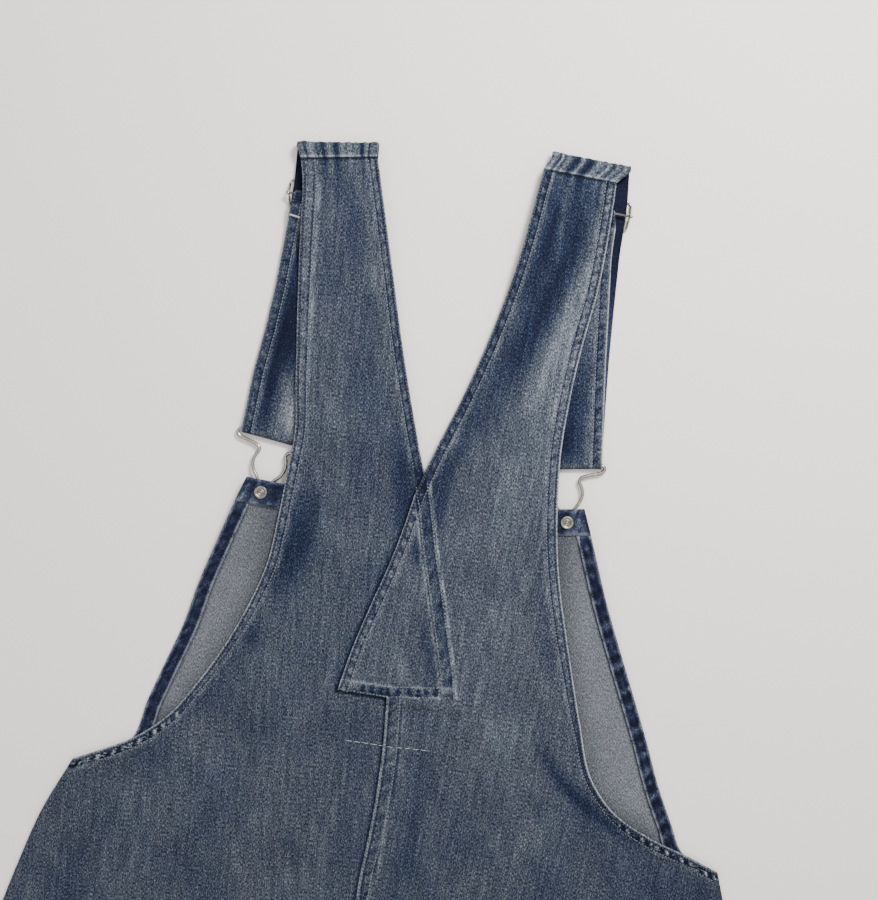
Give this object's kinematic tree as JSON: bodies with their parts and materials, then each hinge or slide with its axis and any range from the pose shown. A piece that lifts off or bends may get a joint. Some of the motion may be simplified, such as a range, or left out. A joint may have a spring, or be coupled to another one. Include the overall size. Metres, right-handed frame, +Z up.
{
  "type": "denim suspender trousers",
  "caption": "Washed denim bib trousers with wide crossed-over back straps, fastened at the bib by wire hook buckles and laid flat on their front.",
  "frame": {"origin": "on the surface that the garment lies on, below the middle of its outline", "axes": "+Z up from the surface, +Y from the leg hems to the shoulder straps, +X to the right as seen from above, over the wearer's right side"},
  "size_m": [0.68, 1.4798, 0.0127],
  "materials": {
    "denim_outside": "washed blue-grey cotton twill with pale and navy wear",
    "denim_inside": "pale grey inside face of the twill",
    "denim_turned_hem": "dark navy turned hem with pale abrasion",
    "steel": "dull aged steel"
  },
  "bodies": {
    "root": {"back_left": "denim_outside", "back_right": "denim_outside", "front_leg_left": "denim_outside", "front_leg_right": "denim_outside", "strap_front_left": "denim_outside", "strap_front_right": "denim_outside", "bib": "denim_inside", "bib_top_hem": "denim_turned_hem", "bib_side_hem_left": "denim_turned_hem", "bib_side_hem_right": "denim_turned_hem", "hook_buckle_left": "steel", "hook_buckle_right": "steel", "strap_slide_left": "steel", "strap_slide_right": "steel", "bib_button_left": "steel", "bib_button_right": "steel", "bib_button_tack_left": "steel", "bib_button_tack_right": "steel"}
  },
  "joints": []
}
